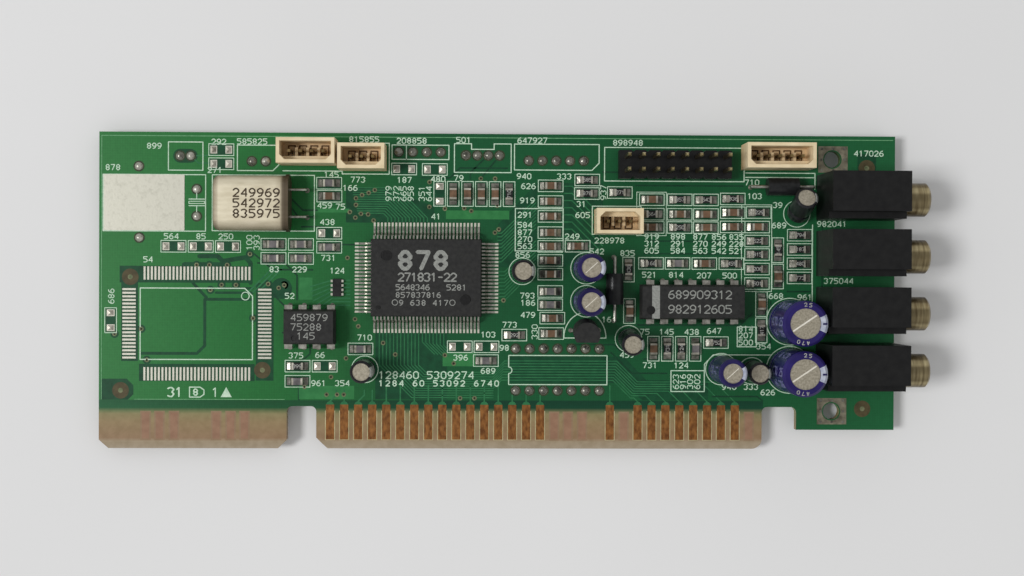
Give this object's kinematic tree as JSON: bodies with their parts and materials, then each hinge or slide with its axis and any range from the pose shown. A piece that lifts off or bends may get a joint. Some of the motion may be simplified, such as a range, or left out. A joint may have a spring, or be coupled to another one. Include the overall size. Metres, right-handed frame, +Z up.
{
  "type": "isa sound card",
  "caption": "Full-size green expansion card with an edge connector, audio jacks along one end, a large sound chip, plug headers, a jumper block and capacitors.",
  "frame": {"origin": "centre of the footprint, at the level of the trimmed lead tips that the card rests on", "axes": "+X along the board towards the jacks, +Y away from the connector edge, +Z up from the component side"},
  "size_m": [0.1484, 0.0572, 0.0148],
  "materials": {
    "laminate": "satin green solder mask",
    "contact_gold": "worn plating",
    "tin": "bright solder",
    "chip_plastic": "fine matt",
    "lead_metal": "tinned",
    "crystal_metal": "brushed nickel",
    "ivory_plastic": "satin",
    "pin_metal": "plated",
    "black_plastic": "satin",
    "bushing_metal": "dull nickel",
    "can_aluminium": "satin",
    "blue_sleeve": "glossy",
    "black_sleeve": "glossy",
    "bung_rubber": "matt",
    "ferrite": "matt",
    "resistor_ceramic": "satin",
    "capacitor_ceramic": "satin",
    "inductor_ceramic": "satin"
  },
  "bodies": {
    "root": {"circuit_board": "laminate", "edge_contacts_front": "contact_gold", "edge_contacts_back": "contact_gold", "bracket_pads": "tin", "tinned_pads": "tin", "solder_joints": "tin", "sound_chip_body": "chip_plastic", "sound_chip_leads": "lead_metal", "memory_chip_body": "chip_plastic", "memory_chip_leads": "lead_metal", "amplifier_body": "chip_plastic", "amplifier_leads": "lead_metal", "crystal_can": "crystal_metal", "crystal_base": "crystal_metal", "crystal_leads": "lead_metal", "header_4way_shell": "ivory_plastic", "header_4way_pins": "pin_metal", "header_5way_shell": "ivory_plastic", "header_5way_pins": "pin_metal", "header_3way_top_shell": "ivory_plastic", "header_3way_top_pins": "pin_metal", "header_3way_mid_shell": "ivory_plastic", "header_3way_mid_pins": "pin_metal", "jumper_block_base": "black_plastic", "jumper_block_pins": "pin_metal", "jack_housing_1": "black_plastic", "jack_bushing_1": "bushing_metal", "jack_contacts_1": "lead_metal", "jack_housing_2": "black_plastic", "jack_bushing_2": "bushing_metal", "jack_contacts_2": "lead_metal", "jack_housing_3": "black_plastic", "jack_bushing_3": "bushing_metal", "jack_contacts_3": "lead_metal", "jack_housing_4": "black_plastic", "jack_bushing_4": "bushing_metal", "jack_contacts_4": "lead_metal", "large_capacitor_cans": "can_aluminium", "large_capacitor_sleeves": "blue_sleeve", "large_capacitor_bungs": "bung_rubber", "large_capacitor_leads": "lead_metal", "medium_capacitor_cans": "can_aluminium", "medium_capacitor_sleeves": "blue_sleeve", "medium_capacitor_bungs": "bung_rubber", "medium_capacitor_leads": "lead_metal", "small_capacitor_cans": "can_aluminium", "small_capacitor_sleeves": "black_sleeve", "small_capacitor_bungs": "bung_rubber", "small_capacitor_leads": "lead_metal", "ferrite_beads": "ferrite", "ferrite_bead_wires": "lead_metal", "regulator_body": "chip_plastic", "regulator_leads": "lead_metal", "resistor_network_body": "resistor_ceramic", "resistor_network_ends": "tin", "chip_resistor_bodies": "resistor_ceramic", "chip_capacitor_bodies": "capacitor_ceramic", "chip_inductor_bodies": "inductor_ceramic", "chip_end_caps": "tin"}
  },
  "joints": []
}
